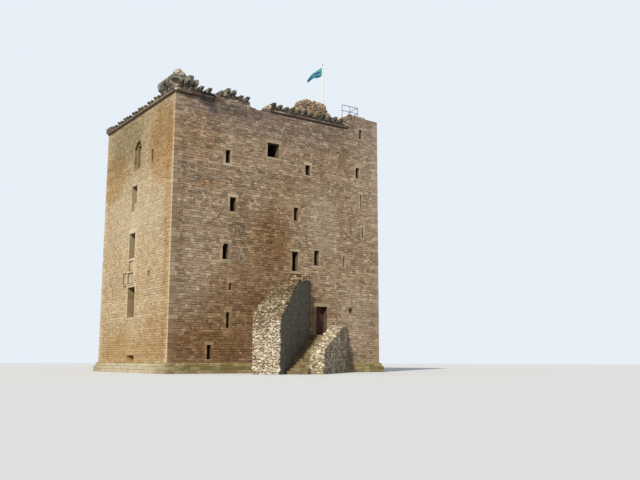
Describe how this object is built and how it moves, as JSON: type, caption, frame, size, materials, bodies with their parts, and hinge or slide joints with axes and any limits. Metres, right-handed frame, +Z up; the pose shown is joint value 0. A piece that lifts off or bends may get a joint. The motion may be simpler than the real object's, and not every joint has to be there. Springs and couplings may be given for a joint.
{
  "type": "castle keep",
  "caption": "Ruined sandstone castle keep: hollow storeys with floors, a corbelled wall head, a curtain-wall stub, an entrance stair and a hinged oak door.",
  "frame": {"origin": "on the ground at the centre of the keep's walls", "axes": "+Z up, -Y out of the entrance front, +X along that front to the right, seen from outside"},
  "size_m": [19.6, 20.3745, 27],
  "materials": {
    "dressed_stone": "dressed sandstone, sawn and weathered",
    "rubble": "coursed sandstone rubble in lime mortar",
    "rubble_core": "broken rubble core in pale mortar",
    "chimney_rubble": "orange sandstone rubble",
    "corbel_stone": "lichen-dark carved sandstone",
    "floor_stone": "stone flags",
    "door_oak": "stained oak planks",
    "black_iron": "wrought iron",
    "rail_paint": "blue-grey painted tube",
    "white_paint": "white gloss paint",
    "flag_cloth": "woven polyester bunting"
  },
  "bodies": {
    "keep": {"plinth": "dressed_stone", "window_surrounds": "dressed_stone", "armorial_panels": "dressed_stone", "entrance_steps": "dressed_stone", "front_wall_basement": "rubble", "front_wall_hall_left": "rubble", "front_wall_hall_right": "rubble", "front_wall_over_door": "rubble", "front_wall_second": "rubble", "front_wall_third": "rubble", "front_wall_fourth": "rubble", "right_wall_lower": "rubble", "right_wall_second": "rubble", "right_wall_third": "rubble", "right_wall_fourth": "rubble", "back_wall_lower": "rubble", "back_wall_second": "rubble", "back_wall_third": "rubble", "back_wall_fourth": "rubble", "left_wall_lower": "rubble", "left_wall_second": "rubble", "left_wall_third": "rubble", "left_wall_fourth": "rubble", "stair_corner_lower": "rubble", "stair_corner_upper": "rubble", "curtain_stub": "rubble_core", "stair_flank_wall": "rubble_core", "parapet_remains": "rubble_core", "chimney_remains": "chimney_rubble", "front_corbels": "corbel_stone", "right_corbels": "corbel_stone", "back_corbels": "corbel_stone", "left_corbels": "corbel_stone", "basement_floor": "floor_stone", "hall_floor": "floor_stone", "second_floor": "floor_stone", "third_floor": "floor_stone", "fourth_floor": "floor_stone", "roof_deck": "floor_stone", "door_pintles": "black_iron", "guard_rail": "rail_paint", "flagpole": "white_paint", "flag": "flag_cloth"},
    "door": {"door_leaf": "door_oak", "door_straps": "black_iron"}
  },
  "joints": [
    {"name": "door_hinge", "type": "hinge", "parent": "keep", "child": "door", "pos_m": [2.99, -6.25, 2.9], "axis": [0, 0, 1], "range_deg": [0, 95]}
  ]
}
